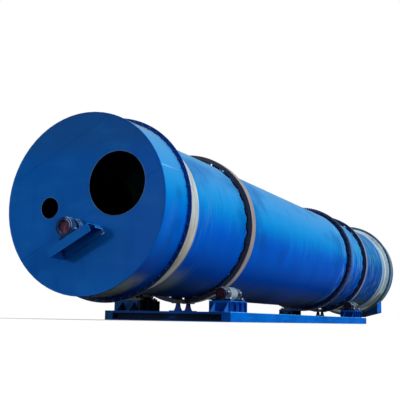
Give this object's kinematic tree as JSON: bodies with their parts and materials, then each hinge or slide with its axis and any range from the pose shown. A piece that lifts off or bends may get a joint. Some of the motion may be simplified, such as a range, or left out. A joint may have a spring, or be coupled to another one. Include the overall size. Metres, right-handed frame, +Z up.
{
  "type": "triple-pass rotary dryer",
  "caption": "Horizontal triple-pass rotary dryer: a drum with tyres and a girth gear on carrier and thrust rollers, a ported front hood, a rear discharge hood and a welded base frame.",
  "frame": {"origin": "middle of the base frame's underside, at the middle cross beam, on the floor", "axes": "+X along the drum from the ported front end to the discharge end, +Z up, +Y to the left as seen from the front end"},
  "size_m": [17.176, 3.0536, 3.327],
  "materials": {
    "frame_paint": "satin gloss paint with dust",
    "bearing_paint": "pale primer paint",
    "cap_paint": "matt red paint",
    "roller_steel": "turned steel",
    "drum_paint": "glossy paint, dusty below",
    "inner_steel": "dark heat-stained plate",
    "bare_band": "dusty bare steel",
    "tyre_steel": "lightly rusted steel",
    "dark_paint": "dark paint",
    "rear_flange_paint": "grey-green paint",
    "plate_paint": "satin paint",
    "hood_paint": "glossy paint"
  },
  "bodies": {
    "root": {"side_beam_left": "frame_paint", "side_beam_right": "frame_paint", "cross_front": "frame_paint", "cross_rear": "frame_paint", "cross_middle": "frame_paint", "cross_station_front": "frame_paint", "cross_station_rear": "frame_paint", "stand_front_left": "frame_paint", "stand_front_right": "frame_paint", "stand_rear_left": "frame_paint", "stand_rear_right": "frame_paint", "bearings_front_left": "bearing_paint", "bearings_front_right": "bearing_paint", "bearings_rear_left": "bearing_paint", "bearings_rear_right": "bearing_paint", "bearing_caps": "cap_paint", "thrust_stands_front": "frame_paint", "thrust_stands_rear": "frame_paint", "front_plate": "plate_paint", "front_hood_shell": "hood_paint", "front_flange": "dark_paint", "shelf": "plate_paint", "shelf_bearings": "bearing_paint", "shelf_cap": "cap_paint", "shelf_shaft": "roller_steel", "rear_plate": "plate_paint", "rear_hood_shell": "hood_paint", "rear_flange": "rear_flange_paint", "hopper_ends": "hood_paint", "hopper_sides": "hood_paint"},
    "drum": {"drum_shell": "drum_paint", "drum_head": "inner_steel", "middle_cylinder": "inner_steel", "middle_end": "inner_steel", "inner_cylinder": "inner_steel", "spiders": "inner_steel", "band_front": "bare_band", "band_rear": "bare_band", "tyre_front": "tyre_steel", "tyre_rear": "tyre_steel", "pads_front": "dark_paint", "pads_rear": "dark_paint", "girth_gear": "dark_paint", "gear_brackets": "dark_paint"},
    "roller_front_left_body": {"roller_front_left": "roller_steel"},
    "roller_front_right_body": {"roller_front_right": "roller_steel"},
    "roller_rear_left_body": {"roller_rear_left": "roller_steel"},
    "roller_rear_right_body": {"roller_rear_right": "roller_steel"},
    "thrust_roller_1_body": {"thrust_roller_1": "roller_steel"},
    "thrust_roller_2_body": {"thrust_roller_2": "roller_steel"},
    "thrust_roller_3_body": {"thrust_roller_3": "roller_steel"},
    "thrust_roller_4_body": {"thrust_roller_4": "roller_steel"}
  },
  "joints": [
    {"name": "drum_spin", "type": "hinge", "parent": "root", "child": "drum", "pos_m": [0, 0, 1.8], "axis": [1, 0, 0], "continuous": true},
    {"name": "roller_front_left_spin", "type": "hinge", "parent": "root", "child": "roller_front_left_body", "pos_m": [-4.485, 0.955, 0.52575], "axis": [1, 0, 0], "continuous": true},
    {"name": "roller_front_right_spin", "type": "hinge", "parent": "root", "child": "roller_front_right_body", "pos_m": [-4.485, -0.955, 0.52575], "axis": [1, 0, 0], "continuous": true},
    {"name": "roller_rear_left_spin", "type": "hinge", "parent": "root", "child": "roller_rear_left_body", "pos_m": [4.815, 0.955, 0.52575], "axis": [1, 0, 0], "continuous": true},
    {"name": "roller_rear_right_spin", "type": "hinge", "parent": "root", "child": "roller_rear_right_body", "pos_m": [4.815, -0.955, 0.52575], "axis": [1, 0, 0], "continuous": true},
    {"name": "thrust_roller_1_spin", "type": "hinge", "parent": "root", "child": "thrust_roller_1_body", "pos_m": [-4.7054, 0, 0.372], "axis": [0, 0, 1], "continuous": true},
    {"name": "thrust_roller_2_spin", "type": "hinge", "parent": "root", "child": "thrust_roller_2_body", "pos_m": [-4.2646, 0, 0.372], "axis": [0, 0, 1], "continuous": true},
    {"name": "thrust_roller_3_spin", "type": "hinge", "parent": "root", "child": "thrust_roller_3_body", "pos_m": [4.5946, 0, 0.372], "axis": [0, 0, 1], "continuous": true},
    {"name": "thrust_roller_4_spin", "type": "hinge", "parent": "root", "child": "thrust_roller_4_body", "pos_m": [5.0354, 0, 0.372], "axis": [0, 0, 1], "continuous": true}
  ],
  "couplings": [
    {"joint": "roller_front_left_spin", "follows": "drum_spin", "ratio": -11.246},
    {"joint": "roller_front_right_spin", "follows": "drum_spin", "ratio": -11.246},
    {"joint": "roller_rear_left_spin", "follows": "drum_spin", "ratio": -11.246},
    {"joint": "roller_rear_right_spin", "follows": "drum_spin", "ratio": -11.246},
    {"joint": "thrust_roller_1_spin", "follows": "drum_spin", "ratio": 10.985},
    {"joint": "thrust_roller_2_spin", "follows": "drum_spin", "ratio": -10.985},
    {"joint": "thrust_roller_3_spin", "follows": "drum_spin", "ratio": 10.985},
    {"joint": "thrust_roller_4_spin", "follows": "drum_spin", "ratio": -10.985}
  ]
}
